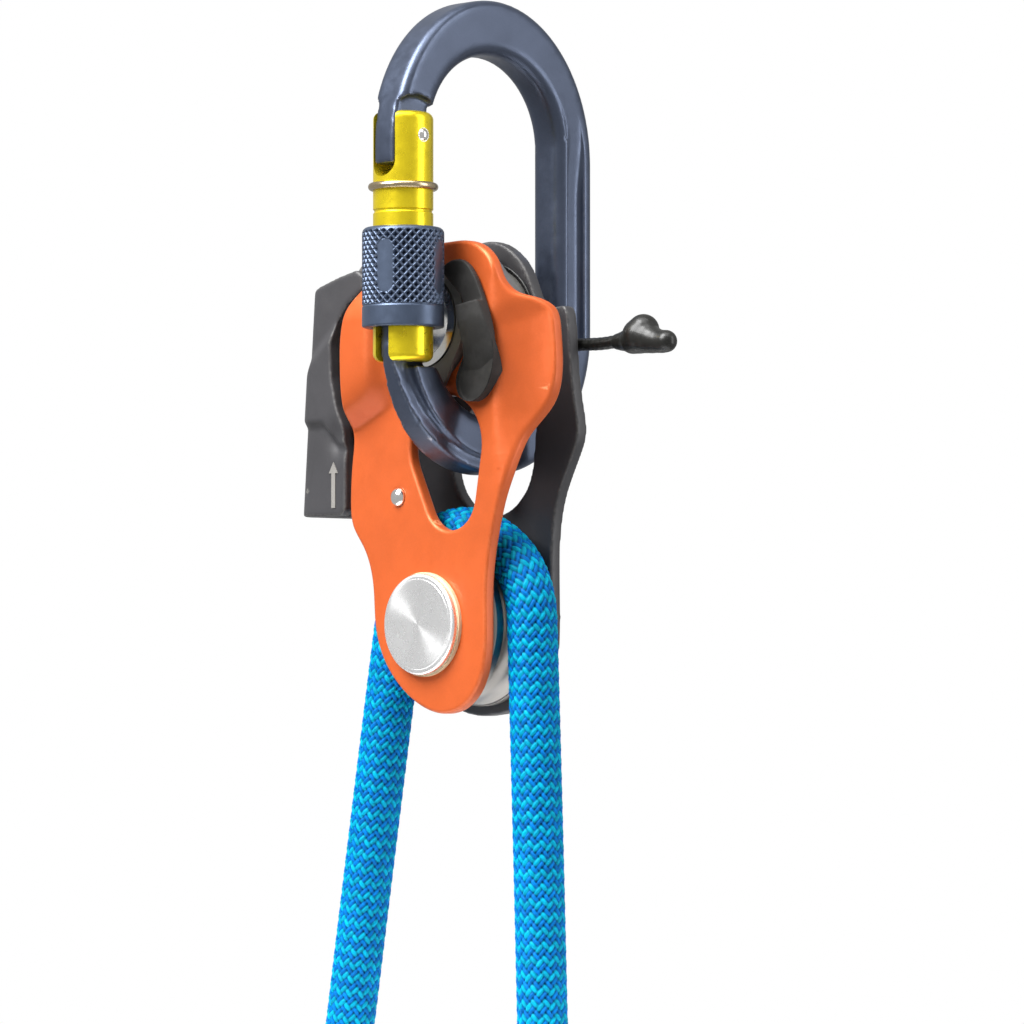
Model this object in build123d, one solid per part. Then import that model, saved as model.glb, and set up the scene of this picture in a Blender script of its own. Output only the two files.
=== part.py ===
"""Rope clamp and pulley hanging from a screw-gate connector, with its rope, in millimetres.

Frame: origin at the top inside seat of the connector's bow. +X runs along the side plates towards
their ears, +Y from the front plate to the rear plate, +Z up. Front faces look towards -Y.
"""
from build123d import *
from math import acos, cos, degrees, pi, radians, sin, sqrt, tan
import os

os.makedirs("parts", exist_ok=True)

# ---- connector -----------------------------------------------------------------------------------
BOW_OUT_Y = 28.9            # outer half depth of the bow
BOW_IN_Y = 18.5             # inner half depth of the bow
TOP_OUT_Z = -21.3           # centre height of the outer top ellipse
TOP_OUT_RISE = 33.0
TOP_IN_Z = -18.3            # centre height of the inner top ellipse
TOP_IN_RISE = 18.3
LOW_Z = -57.3               # centre height of both lower ellipses
LOW_OUT_DROP = 31.6
LOW_IN_DROP = 19.7
BODY_W = 9.2                # bar width across the bow's plane
GATE_Y = -23.2
GATE_R = 6.3
GATE_TOP = -13.8
GATE_END = -66.0
HINGE_Z = -18.9
SLEEVE_R = 8.6
SLEEVE_TOP = -37.9
SLEEVE_LOW = -58.9
RING_Z = -29.4
GROOVE_Z = -34.6
TONGUE_W = 5.8
NOSE_W = 3.0

# ---- side plates ---------------------------------------------------------------------------------
SHEET = 3.0
FRONT_Y = -11.0             # outer face of the front plate at the axle
REAR_Y = 11.0               # outer face of the rear plate
RAISE = 1.0                 # outward joggle of the front plate's upper half
EAR_BEND = 7.5              # how far the front plate's ear bends back
AXLE = (-6.0, -120.6)
EYE = (-5.5, -56.6)
PIVOT_Z = -77.6             # centre of the lower bow's rounded inner side, where the device swings

# ---- rope and sheave -----------------------------------------------------------------------------
ROPE_D = 10.5
PITCH_R = 19.6
GROOVE_R = PITCH_R - ROPE_D / 2
SHEAVE_R = 17.3
LEFT_LEAN = 10.4            # degrees from the vertical
RIGHT_LEAN = 2.4
END_CAP = 14.0


def node(name, shape, colour):
    shape.label = name
    shape.color = Color(*colour)
    export_step(shape, "parts/" + name + ".step")
    print(name, round(shape.volume, 1))
    return shape


def disc(centre, r, y0, y1):
    """Cylinder along Y at (x, z), from y0 to y1."""
    plane = Plane(origin=(centre[0], y0, centre[1]), x_dir=(1, 0, 0), z_dir=(0, 1, 0))
    return extrude(plane * Circle(r), amount=y1 - y0)


def ring(centre, r_out, r_in, y0, y1):
    return disc(centre, r_out, y0, y1) - disc(centre, r_in, y0 - 1, y1 + 1)


def post(x, y, r, z0, z1):
    """Cylinder along Z."""
    return extrude(Plane(origin=(x, y, z0)) * Circle(r), amount=z1 - z0)


def slab(x0, x1, y0, y1, z0, z1):
    box = Box(x1 - x0, y1 - y0, z1 - z0)
    return Pos((x0 + x1) / 2, (y0 + y1) / 2, (z0 + z1) / 2) * box


def xz_face(points):
    """Face in the XZ plane from a closed smooth outline."""
    curve = Spline([(x, 0, z) for x, z in points], periodic=True)
    return Face(Wire([curve]))


def yz_loop(out_y, top_z, rise, low_z, drop):
    """Closed loop in the YZ plane: half ellipse, side, half ellipse, side."""
    plane = Plane(origin=(0, 0, 0), x_dir=(0, 1, 0), z_dir=(1, 0, 0))
    top = EllipticalCenterArc((0, top_z), out_y, rise, start_angle=0, arc_size=180)
    low = EllipticalCenterArc((0, low_z), out_y, drop, start_angle=180, arc_size=180)
    side_a = Line((-out_y, top_z), (-out_y, low_z))
    side_b = Line((out_y, low_z), (out_y, top_z))
    return plane * make_face([top, side_a, low, side_b])


def step_up(t):
    t = min(1.0, max(0.0, t))
    return t * t * (3 - 2 * t)


# ---- connector body ------------------------------------------------------------------------------
outer = yz_loop(BOW_OUT_Y, TOP_OUT_Z, TOP_OUT_RISE, LOW_Z, LOW_OUT_DROP)
inner = yz_loop(BOW_IN_Y, TOP_IN_Z, TOP_IN_RISE, LOW_Z, LOW_IN_DROP)
body = extrude(outer, amount=BODY_W / 2, both=True) - extrude(inner, amount=BODY_W, both=True)


def loop_edges(shape, half_w, inside):
    picked = []
    for e in shape.edges():
        c = e.center()
        flat = abs(abs(c.X) - half_w) < 0.01
        deep = max(abs(e.position_at(t).Y) for t in (0.1, 0.5, 0.9))
        if flat and (deep < BOW_IN_Y + 0.1) == inside:
            picked.append(e)
    return picked


body = fillet(loop_edges(body, BODY_W / 2, True), 2.8)
body = fillet(loop_edges(body, BODY_W / 2, False), 1.8)

# lightening recess down each side of the spine and over the top
POCKET = 1.5
rim_out = yz_loop(BOW_OUT_Y - 3.0, TOP_OUT_Z, TOP_OUT_RISE - 3.6, LOW_Z, LOW_OUT_DROP - 3.0)
rim_in = yz_loop(BOW_IN_Y + 2.6, TOP_IN_Z, TOP_IN_RISE + 3.4, LOW_Z, LOW_IN_DROP + 3.0)
band = extrude(rim_out, amount=POCKET + 1) - extrude(rim_in, amount=POCKET + 2)
for side in (1, -1):
    cut = band if side == 1 else mirror(band, about=Plane.YZ)
    cut = Pos(side * (BODY_W / 2 - POCKET), 0, 0) * cut
    keep = slab(-10, 10, -6, 40, -60, 30)
    body = body - (cut & keep)

# gate opening: the bar is cut away, then the hinge tongue and the nose are added back
gate_gap = slab(-10, 10, -40, -12, -67.0, HINGE_Z)
turn_room = extrude(
    Plane(origin=(-10, GATE_Y, HINGE_Z), x_dir=(0, 1, 0), z_dir=(1, 0, 0)) * Circle(8.5), amount=20
)
tongue_bar = extrude(outer, amount=TONGUE_W / 2, both=True) - extrude(inner, amount=9, both=True)
tongue = tongue_bar & slab(-5, 5, -40, -18.9, -24.8, -9)
nose_bar = extrude(outer, amount=NOSE_W / 2, both=True) - extrude(inner, amount=9, both=True)
nose = nose_bar & slab(-5, 5, -28.9, -18.9, -69, -62.6)
nose_head = slab(-NOSE_W / 2, NOSE_W / 2, -28.0, -19.6, -63.1, -53.6)

# below the nose the outer flange starts as thin as the nose and widens down the curve
FLANGE = 3.4
FLANGE_SPREAD = 7.0         # degrees
flange_in = yz_loop(BOW_OUT_Y - FLANGE, TOP_OUT_Z, TOP_OUT_RISE, LOW_Z, LOW_OUT_DROP - FLANGE)
beside = slab(0, 12, -45, -2, -30, 10)
beside = Pos(NOSE_W / 2 + 0.1, 0, -67) * Rot(0, -FLANGE_SPREAD, 0) * beside
beside = beside - extrude(flange_in, amount=20, both=True)
body = body - beside - mirror(beside, about=Plane.YZ)
body = body - gate_gap - turn_room + tongue + nose + nose_head
pin_hole = Plane(origin=(-10, GATE_Y, HINGE_Z), x_dir=(0, 1, 0), z_dir=(1, 0, 0)) * Circle(1.55)
body = body - extrude(pin_hole, amount=20)
spring_way = post(0, GATE_Y + 1.2, 1.6, -25.9, -21.8)
body = body - spring_way
node("connector_body", body, (0.25, 0.29, 0.38))

# ---- gate ----------------------------------------------------------------------------------------
barrel = post(0, GATE_Y, GATE_R, GATE_END, GATE_TOP)
barrel = fillet(barrel.edges().filter_by(GeomType.CIRCLE), 1.6)
slot_w = TONGUE_W + 0.7
top_slot = slab(-slot_w / 2, slot_w / 2, -40, 0, -24.3, 0)
slot_floor = extrude(
    Plane(origin=(0, -40, -24.3), x_dir=(1, 0, 0), z_dir=(0, 1, 0)) * Circle(slot_w / 2), amount=40
)
low_slot = slab(-(NOSE_W + 0.9) / 2, (NOSE_W + 0.9) / 2, -40, GATE_Y + 4.6, -70, -52.4)
barrel = barrel - top_slot - slot_floor - low_slot
hinge_hole = Plane(origin=(-10, GATE_Y, HINGE_Z), x_dir=(0, 1, 0), z_dir=(1, 0, 0)) * Circle(1.5)
barrel = barrel - extrude(hinge_hole, amount=20)
barrel = barrel - Pos(0, GATE_Y, RING_Z) * Torus(GATE_R + 0.25, 0.8)
barrel = barrel - Pos(0, GATE_Y, GROOVE_Z) * Torus(GATE_R + 0.25, 0.5)
barrel = barrel - post(0, GATE_Y + 1.2, 1.6, -35.9, -25.9)
node("gate_barrel", barrel, (0.86, 0.78, 0.1))

pin_plane = Plane(origin=(-GATE_R + 0.1, GATE_Y, HINGE_Z), x_dir=(0, 1, 0), z_dir=(1, 0, 0))
hinge_pin = extrude(pin_plane * Circle(1.5), amount=2 * GATE_R - 0.2)
dome = Pos(GATE_R - 0.9, GATE_Y, HINGE_Z) * Sphere(1.5)
hinge_pin = hinge_pin + (dome & slab(GATE_R - 0.9, 20, -40, 0, -30, 0))
node("gate_hinge_pin", hinge_pin, (0.75, 0.75, 0.76))

stop_ring = Pos(0, GATE_Y, RING_Z) * Torus(GATE_R + 0.25, 0.8)
node("sleeve_stop_ring", stop_ring, (0.6, 0.55, 0.45))

coil = Helix(pitch=1.5, height=7.5, radius=1.05, center=(0, GATE_Y + 1.2, -35.1))
spring = sweep((coil ^ 0) * Circle(0.22), path=coil)
node("gate_spring", spring, (0.7, 0.7, 0.72))
plunger = post(0, GATE_Y + 1.2, 1.4, -27.2, -22.5)
plunger = fillet(plunger.edges().filter_by(GeomType.CIRCLE), 0.4)
node("gate_spring_plunger", plunger, (0.7, 0.7, 0.72))

sleeve = post(0, GATE_Y, SLEEVE_R, SLEEVE_LOW, SLEEVE_TOP)
sleeve = chamfer(sleeve.edges().filter_by(GeomType.CIRCLE), 0.8)
sleeve = sleeve - post(0, GATE_Y, GATE_R + 0.06, SLEEVE_LOW - 1, SLEEVE_TOP + 1)
node("lock_sleeve", sleeve, (0.2, 0.28, 0.4))

# ---- formed side plates --------------------------------------------------------------------------


def front_face_y(x, z):
    """Outer face of the front plate: raised above a slanting crease, ear bent back."""
    crease = -79.0 + 0.43 * (x + 28.0)
    up = step_up((z - crease) / 6.0)
    back = step_up((x - 15.0) / 12.0)
    return FRONT_Y - RAISE * up + EAR_BEND * back


def formed_sheet(height, x0, x1, z0, z1, nx, nz):
    rows = []
    for i in range(nx + 1):
        x = x0 + (x1 - x0) * i / nx
        row = []
        for j in range(nz + 1):
            z = z0 + (z1 - z0) * j / nz
            row.append(Vector(x, height(x, z), z))
        rows.append(row)
    surface = Face.make_surface_from_array_of_points(rows, tol=0.01)
    return extrude(surface, amount=SHEET, dir=(0, 1, 0))


FRONT_EDGE = [
    (-6.0, -39.6), (1.5, -40.2), (8.8, -40.6), (13.0, -42.8), (17.2, -48.3), (20.3, -51.5),
    (23.5, -52.7), (26.0, -54.9), (27.2, -59.9), (27.5, -68.2), (25.8, -74.3), (21.3, -81.1),
    (18.6, -86.7), (16.4, -92.9), (13.2, -104.0), (12.0, -113.0), (12.0, -122.0), (11.2, -129.6),
    (8.4, -135.2), (3.4, -138.7), (-1.6, -139.4), (-7.4, -138.0), (-14.2, -133.8), (-19.6, -127.4),
    (-22.0, -120.4), (-22.6, -113.1), (-25.8, -103.9), (-29.0, -99.4), (-29.8, -93.0),
    (-29.2, -85.0), (-28.9, -79.6), (-31.4, -74.0), (-32.6, -66.0), (-32.5, -59.5),
    (-31.0, -54.6), (-28.2, -51.8), (-24.6, -49.4), (-19.6, -45.6), (-13.6, -41.2),
]
REAR_EDGE = [
    (-14.0, -41.0), (-5.5, -38.4), (1.5, -41.6), (6.0, -47.4), (9.4, -53.0), (13.0, -53.6),
    (16.0, -53.4), (17.6, -58.0), (18.2, -66.0), (19.6, -75.0), (20.3, -80.2), (17.6, -87.0),
    (14.2, -94.3), (12.6, -103.0), (12.5, -114.0), (12.4, -124.0), (10.4, -131.5), (4.2, -137.4),
    (-4.5, -139.8), (-10.0, -140.0), (-17.0, -138.2), (-22.6, -133.0), (-24.8, -125.0),
    (-24.6, -113.0), (-27.4, -104.0), (-32.0, -98.0), (-36.0, -90.0), (-36.0, -60.0),
    (-32.0, -48.0), (-24.0, -44.4),
]


def pill(x_a, z_a, r_a, x_b, z_b, r_b, y0, y1):
    """Two round ends joined by their outer tangents, as a prism along Y."""
    gap = sqrt((x_b - x_a) ** 2 + (z_b - z_a) ** 2)
    ux = (x_b - x_a) / gap
    uz = (z_b - z_a) / gap
    tilt = acos((r_a - r_b) / gap)
    corners = []
    for cx, cz, r, order in ((x_a, z_a, r_a, (1, -1)), (x_b, z_b, r_b, (-1, 1))):
        for s in order:
            nx = ux * cos(tilt) - s * uz * sin(tilt)
            nz = uz * cos(tilt) + s * ux * sin(tilt)
            corners.append((cx + r * nx, 0, cz + r * nz))
    middle = extrude(Face(Wire.make_polygon(corners, close=True)), amount=60, dir=(0, 1, 0))
    middle = Pos(0, -30, 0) * middle
    whole = middle + disc((x_a, z_a), r_a, -30, 30) + disc((x_b, z_b), r_b, -30, 30)
    return whole & slab(-60, 60, y0, y1, -160, 20)


front = formed_sheet(front_face_y, -36, 32, -144, -34, 34, 44)
front_prism = Pos(0, -30, 0) * extrude(xz_face(FRONT_EDGE), amount=60, dir=(0, 1, 0))
front = front & front_prism
front = front - pill(-0.2, -83.1, 10.7, 1.2, -93.4, 7.5, -29, 29)
front = front - disc(EYE, 12.9, -29, 29)
front = front - disc(AXLE, 5.06, -29, 29)
front = front - disc((-14.5, -93.5), 1.6, -29, 29)
node("front_plate", front, (0.95, 0.38, 0.1))

rear = Pos(0, REAR_Y - SHEET, 0) * extrude(xz_face(REAR_EDGE), amount=SHEET, dir=(0, 1, 0))

# rope channel: the rear sheet folds round the rope and comes back as a front lip
CHANNEL_TOP = -44.0
CHANNEL_LOW = -97.0
LIP_EDGE = [
    (-48.0, -49.4), (-42.0, -47.9), (-34.0, -45.6), (-28.0, -44.3), (-25.6, -45.6), (-26.0, -48.6),
    (-30.6, -51.4), (-33.8, -55.2), (-34.9, -60.0), (-34.6, -67.0), (-33.0, -73.4), (-31.2, -78.0),
    (-31.2, -95.6), (-32.6, -97.0), (-49.0, -97.0),
]


def fold(x_top, x_low, r_out, z0, z1):
    """U-shaped sheet, open towards +X, whose folded edge leans from x_top at z1 to x_low at z0."""
    x_right = -20.0

    def leaning(x_left, half_y, r):
        section = Pos(x_left, 0, z0) * Rectangle(x_right - x_left, half_y * 2, align=(Align.MIN, Align.CENTER))
        section = fillet(section.vertices().sort_by(Axis.X)[:2], r)
        return extrude(section, amount=z1 - z0, dir=(x_top - x_low, 0, z1 - z0))

    return leaning(x_low, REAR_Y, r_out) - leaning(x_low + SHEET, REAR_Y - SHEET, r_out - 2.0)


channel = fold(-43.3, -47.2, 4.4, CHANNEL_LOW, CHANNEL_TOP)
lip_wire = Polyline([(x, 0, z) for x, z in LIP_EDGE] + [(-48.0, 0, -49.4)])
lip_prism = Pos(0, -30, 0) * extrude(Face(Wire(lip_wire.edges())), amount=60, dir=(0, 1, 0))
back_part = slab(-60, -33.0, -7.9, 30, -97.0, -49.0)
channel = (channel & lip_prism) + (channel & back_part)
channel = channel - slab(-33.0, 0, 0, 30, -120, 0)
rear = rear + channel
rear = rear - pill(-5.4, -85.0, 12.4, 1.3, -79.2, 6.4, 4, 29)
rear = rear - disc(EYE, 9.0, 4, 29)
rear = rear - disc(AXLE, 5.06, 4, 29)
slot = pill(8.6, -61.4, 2.1, 13.2, -61.4, 2.0999, 4, 29)
rear = rear - slot
node("rear_plate", rear, (0.16, 0.16, 0.17))

# ---- axle and sheave -----------------------------------------------------------------------------
axle = disc(AXLE, 5.0, FRONT_Y - 0.8, REAR_Y)
head = disc(AXLE, 10.7, FRONT_Y - 2.5, FRONT_Y - 0.8)
head = chamfer(head.edges().filter_by(GeomType.CIRCLE).sort_by(Axis.Y)[0], 0.8)
axle = axle + head
node("axle", axle, (0.85, 0.85, 0.86))
node("axle_washer", ring(AXLE, 11.0, 5.06, FRONT_Y - 0.8, FRONT_Y), (0.75, 0.68, 0.55))
rear_head = disc(AXLE, 9.4, REAR_Y, REAR_Y + 2.0)
rear_head = chamfer(rear_head.edges().filter_by(GeomType.CIRCLE).sort_by(Axis.Y)[-1], 0.7)
node("axle_rear_head", rear_head, (0.85, 0.85, 0.86))

HALF_SHEAVE = 7.3
wheel = ring(AXLE, SHEAVE_R, 7.0, -HALF_SHEAVE, HALF_SHEAVE)
wheel = chamfer(wheel.edges().filter_by(GeomType.CIRCLE).filter_by(
    lambda e: e.radius > 17), 0.5)
hold = Plane(origin=(AXLE[0], 0, AXLE[1]), x_dir=(1, 0, 0), z_dir=(0, 1, 0))
groove_r = ROPE_D / 2 + 0.15
wheel = wheel - (hold * Torus(PITCH_R, groove_r))
mouth = ring(AXLE, 30, PITCH_R - 2.6, -groove_r + 0.55, groove_r - 0.55)
wheel = wheel - mouth
node("sheave", wheel, (0.8, 0.8, 0.8))
node("sheave_bushing", ring(AXLE, 7.0, 5.05, -HALF_SHEAVE, HALF_SHEAVE), (0.7, 0.5, 0.2))
node("thrust_washer_front", ring(AXLE, 9.0, 5.06, -7.94, -HALF_SHEAVE - 0.1), (0.8, 0.8, 0.8))
node("thrust_washer_rear", ring(AXLE, 9.0, 5.06, HALF_SHEAVE + 0.1, 7.94), (0.8, 0.8, 0.8))

stop_pin = disc((-14.5, -93.5), 1.6, FRONT_Y, -5.0) + disc((-14.5, -93.5), 2.0, FRONT_Y - 0.5, FRONT_Y)
node("stop_pin", stop_pin, (0.8, 0.8, 0.8))

# ---- eyelet and cam ------------------------------------------------------------------------------
eyelet = ring(EYE, 9.0, 7.8, -12.4, 11.8)
eyelet = eyelet + ring(EYE, 9.8, 7.8, -12.6, -11.7) + ring(EYE, 10.6, 7.8, REAR_Y, REAR_Y + 1.1)
node("eyelet", eyelet, (0.8, 0.8, 0.82))

TIP_EDGE = [(-11.0, -67.4), (0.6, -70.6), (5.4, -62.6), (-5.5, -60.0)]
hub = ring(EYE, 12.4, 9.05, -11.4, 7.7) + ring(EYE, 12.4, 10.1, -12.3, -11.4)
tip = extrude(Plane.XZ.offset(11.4) * Polygon(*TIP_EDGE, align=None), amount=0.9)
hub = hub + (tip - disc(EYE, 10.1, -30, 30))
node("cam_hub", hub, (0.45, 0.45, 0.46))

NOSE_R = 31.0
cam_pts = []
for k in range(13):
    a = 150 + k * 80 / 12
    reach = NOSE_R - 6.5 * (k / 12 - 0.3) ** 2 * 4
    cam_pts.append((EYE[0] + reach * cos(radians(a)), 0, EYE[1] + reach * sin(radians(a))))
cam_arc = Spline(cam_pts)
tail_a = (EYE[0] - 4.0, 0, EYE[1] - 15.2)
tail_b = (EYE[0] + 3.0, 0, EYE[1] + 15.6)
tail_c = (EYE[0] + 15.2, 0, EYE[1] + 3.0)
tail_d = (EYE[0] + 13.0, 0, EYE[1] - 8.0)
cam_rest = Polyline([cam_pts[-1], tail_a, tail_d, tail_c, tail_b, cam_pts[0]])
cam = extrude(Face(Wire([cam_arc] + list(cam_rest.edges()))), amount=11.6, dir=(0, 1, 0))
cam = Pos(0, -6.2, 0) * cam
for k in range(15):
    a = 158 + k * 4.6
    reach = NOSE_R + 0.6 - 6.5 * ((a - 150) / 80 - 0.3) ** 2 * 4
    gx = EYE[0] + reach * cos(radians(a))
    gz = EYE[1] + reach * sin(radians(a))
    cam = cam - disc((gx, gz), 0.95, -10, 10)
cam = cam - disc(EYE, 12.4, -20, 20)
node("cam", cam, (0.55, 0.55, 0.56))

LEVER_EDGE = [
    (2.4, -45.4), (4.6, -44.4), (8.0, -44.6), (10.8, -47.0), (14.0, -53.0), (16.4, -59.8),
    (16.4, -67.0), (13.6, -72.4), (9.4, -74.2), (6.6, -73.0), (5.6, -69.6), (8.2, -64.0),
    (8.8, -58.0), (6.4, -51.0),
]
lever_face = Pos(0, -13.8, 0) * xz_face(LEVER_EDGE)
lever = extrude(lever_face, amount=1.5, dir=(0, 1, 0))
lever = lever - disc(EYE, 10.1, -30, 30)
lever = lever - (disc(EYE, 13.2, -30, 30) & slab(-60, 60, -30, 30, -90, -51.0))
fin_zone = ring(EYE, 25, 14.0, -16.2, -13.0)
fin_prism = Pos(0, -30, 0) * extrude(xz_face(LEVER_EDGE), amount=60, dir=(0, 1, 0))
wedge_pts = [(EYE[0], 0, EYE[1])]
for a in (10, -20, -50, -66):
    wedge_pts.append((EYE[0] + 60 * cos(radians(a)), 0, EYE[1] + 60 * sin(radians(a))))
wedge = extrude(Face(Wire.make_polygon(wedge_pts, close=True)), amount=60, dir=(0, 1, 0))
fin = fin_zone & fin_prism & (Pos(0, -30, 0) * wedge)
lever = lever + fin
node("cam_lever", lever, (0.06, 0.06, 0.06))

turns = Helix(pitch=0.9, height=0.95, radius=13.2, center=(0, 0, 0))
wind = sweep((turns ^ 0) * Circle(0.32), path=turns)
wind = Pos(EYE[0], 6.75, EYE[1]) * (Rot(-90, 0, 0) * wind)
node("cam_spring", wind, (0.7, 0.7, 0.72))

# ---- release cord --------------------------------------------------------------------------------
CORD_D = 2.8
CORD_Z = -61.4
CORD_Y = 13.2
cord_pts = [(8.9, 6.9, CORD_Z), (9.3, CORD_Y - 0.2, CORD_Z), (16.0, CORD_Y + 0.5, CORD_Z + 0.1),
            (23.0, CORD_Y, CORD_Z - 0.2), (29.5, CORD_Y + 0.1, CORD_Z + 0.5)]


def route(points, max_r):
    """Straight runs joined by tangent arcs; returns the wire and the arc radii."""
    vs = [Vector(*p) for p in points]
    radii = []
    for a, b, c in zip(vs, vs[1:], vs[2:]):
        u = (b - a).normalized()
        w = (c - b).normalized()
        turn = acos(max(-1, min(1, u.dot(w))))
        short = min((b - a).length, (c - b).length)
        radii.append(min(max_r, 0.45 * short / tan(turn / 2)))
    return radii


def tube(points, diameter, radii):
    line = FilletPolyline(*points, radius=radii)
    wire = Wire(line.edges())
    disc_face = Plane(origin=wire @ 0, z_dir=wire % 0) * Circle(diameter / 2)
    solid = sweep(disc_face, path=wire)
    ideal = pi * diameter ** 2 / 4 * wire.length
    print("tube", round(wire.length, 1), "volume ratio", round(solid.volume / ideal, 3))
    return solid


cord_radii = route(cord_pts, 400)
print("release cord arc radii", [round(r, 1) for r in cord_radii])
node("release_cord", tube(cord_pts, CORD_D, cord_radii), (0.03, 0.03, 0.03))

knot_c = (32.6, CORD_Y + 0.1, CORD_Z + 1.6)
knot = Pos(*knot_c) * Sphere(3.9)
tail_plane = Plane(origin=(33.0, CORD_Y, CORD_Z + 0.6), x_dir=(0, 1, 0), z_dir=(1, 0, -0.12))
knot = knot + extrude(tail_plane * Circle(1.6), amount=8.6)
knot = knot + Pos(41.6, CORD_Y, CORD_Z - 0.4) * Sphere(2.1)
knot = knot - slab(20, 29.7, -30, 40, -90, -30)
node("cord_knot", knot, (0.03, 0.03, 0.03))

# ---- rope ----------------------------------------------------------------------------------------


def corner(h1, h2):
    """Where two tangents of the pitch circle meet; headings in degrees from +Z towards +X."""
    mid = radians((h1 + h2) / 2)
    far = PITCH_R / cos(radians(h2 - h1) / 2)
    return (AXLE[0] - far * cos(mid), 0, AXLE[1] + far * sin(mid))


h_in = LEFT_LEAN
h_out = 180 - RIGHT_LEAN
h_a = h_in + (h_out - h_in) / 3
h_b = h_in + (h_out - h_in) * 2 / 3
wrap = [corner(h_in, h_a), corner(h_a, h_b), corner(h_b, h_out)]
BULGE = (1.25, 0.3)         # the stiff rope stands off the groove where it leaves on the right
wrap[2] = (wrap[2][0] + BULGE[0], 0, wrap[2][2] + BULGE[1])


def strand(start, lean_x, runs):
    """Points down a strand whose lean changes a little at each one."""
    pts = []
    x, _, z = start
    for length, lean in zip(runs, lean_x):
        x = x + length * sin(radians(lean))
        z = z - length * cos(radians(lean))
        pts.append((x, 0, z))
    return pts


LEFT_RUNS = (21.0, 40.0, 37.0, 19.0)
RIGHT_RUNS = (21.0, 40.0, 36.0, 16.0)
left_leans = (-LEFT_LEAN, -LEFT_LEAN + 0.2, -LEFT_LEAN + 0.4, -LEFT_LEAN + 0.7)
right_leans = (RIGHT_LEAN, RIGHT_LEAN - 0.25, RIGHT_LEAN - 0.5, RIGHT_LEAN - 0.8)
left = strand(wrap[0], left_leans, LEFT_RUNS)
right = strand(wrap[2], right_leans, RIGHT_RUNS)
rope_pts = list(reversed(left)) + wrap + right
rope_radii = route(rope_pts, 600)
for k in (3, 4, 5):
    rope_radii[k] = PITCH_R - 0.05
print("rope arc radii", [round(r, 1) for r in rope_radii])
print("rope points", [(round(p[0], 2), p[1], round(p[2], 2)) for p in rope_pts])
rope = tube(rope_pts, ROPE_D, rope_radii)
node("rope", rope, (0.05, 0.5, 0.8))


def end_cap(tip, before):
    along = Vector(tip[0] - before[0], 0, tip[2] - before[2]).normalized()
    start = Vector(*tip) - along * (END_CAP - 1.2)
    plane = Plane(origin=start, x_dir=(0, 1, 0), z_dir=along)
    cap = extrude(plane * Circle(ROPE_D / 2 + 0.5), amount=END_CAP)
    cap = fillet(cap.edges().filter_by(GeomType.CIRCLE).sort_by(Axis.Z)[0], 1.0)
    inside = extrude(plane * Circle(ROPE_D / 2), amount=END_CAP - 1.2)
    return cap - inside


node("rope_end_left", end_cap(left[-1], left[-2]), (0.04, 0.04, 0.05))
node("rope_end_right", end_cap(right[-1], right[-2]), (0.04, 0.04, 0.05))
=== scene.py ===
"""Looks of the rope clamp and pulley, its screw-gate connector and its rope.

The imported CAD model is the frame. Sizes here are in millimetres unless a name says otherwise, in the same
axes as the CAD: origin in the connector's upper seat, X along the plates, Y to the back, Z up.
"""
import math

import bmesh
import bpy
import numpy as np
from mathutils import Matrix, Vector


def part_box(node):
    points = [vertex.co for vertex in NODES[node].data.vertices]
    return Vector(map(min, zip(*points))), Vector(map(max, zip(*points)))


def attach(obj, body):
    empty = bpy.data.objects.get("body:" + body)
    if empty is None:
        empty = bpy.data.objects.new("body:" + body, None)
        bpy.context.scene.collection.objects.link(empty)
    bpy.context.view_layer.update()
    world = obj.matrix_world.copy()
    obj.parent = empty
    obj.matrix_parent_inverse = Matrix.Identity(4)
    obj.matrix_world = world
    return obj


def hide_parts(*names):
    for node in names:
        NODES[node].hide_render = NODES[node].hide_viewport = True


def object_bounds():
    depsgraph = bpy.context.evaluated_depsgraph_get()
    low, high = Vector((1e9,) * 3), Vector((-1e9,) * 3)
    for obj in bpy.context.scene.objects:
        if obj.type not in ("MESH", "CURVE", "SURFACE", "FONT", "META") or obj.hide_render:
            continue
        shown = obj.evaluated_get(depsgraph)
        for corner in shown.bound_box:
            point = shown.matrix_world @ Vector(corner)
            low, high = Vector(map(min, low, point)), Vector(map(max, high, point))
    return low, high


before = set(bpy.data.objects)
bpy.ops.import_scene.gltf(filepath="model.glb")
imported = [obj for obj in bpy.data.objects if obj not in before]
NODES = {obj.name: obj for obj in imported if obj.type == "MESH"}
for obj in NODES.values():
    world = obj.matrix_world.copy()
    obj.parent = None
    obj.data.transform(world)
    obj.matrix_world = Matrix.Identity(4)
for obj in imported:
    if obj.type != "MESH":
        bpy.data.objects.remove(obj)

MM = 0.001
CAD_BOX = [list(corner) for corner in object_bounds()]


def middle(node):
    """Centre of a CAD node's box, in mm."""
    low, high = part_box(node)
    return (low + high) / 2 / MM


# ---- driving places, read from the frame ----------------------------------------------------------
AXLE_X, _, AXLE_Z = middle("axle")
_, GATE_Y, _ = middle("lock_sleeve")


# ---- scene helpers --------------------------------------------------------------------------------
def link(obj):
    """Adds an object to the scene."""
    bpy.context.scene.collection.objects.link(obj)
    return obj


def shown_mesh(obj):
    """A new mesh of an object as it shows, with its modifiers."""
    bpy.context.view_layer.update()
    shown = obj.evaluated_get(bpy.context.evaluated_depsgraph_get())
    return bpy.data.meshes.new_from_object(shown)


def piece(name, mesh, material, body, stands_for=(), sharp=None):
    """Puts a finished mesh in the scene as a smooth piece that rides on a body."""
    mesh.name = name
    mesh.shade_smooth()
    if sharp is not None:
        mesh.set_sharp_from_angle(angle=math.radians(sharp))
    mesh.materials.clear()
    mesh.materials.append(material)
    obj = link(bpy.data.objects.new(name, mesh))
    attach(obj, body)
    if stands_for:
        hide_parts(*stands_for)
    return obj


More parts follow.
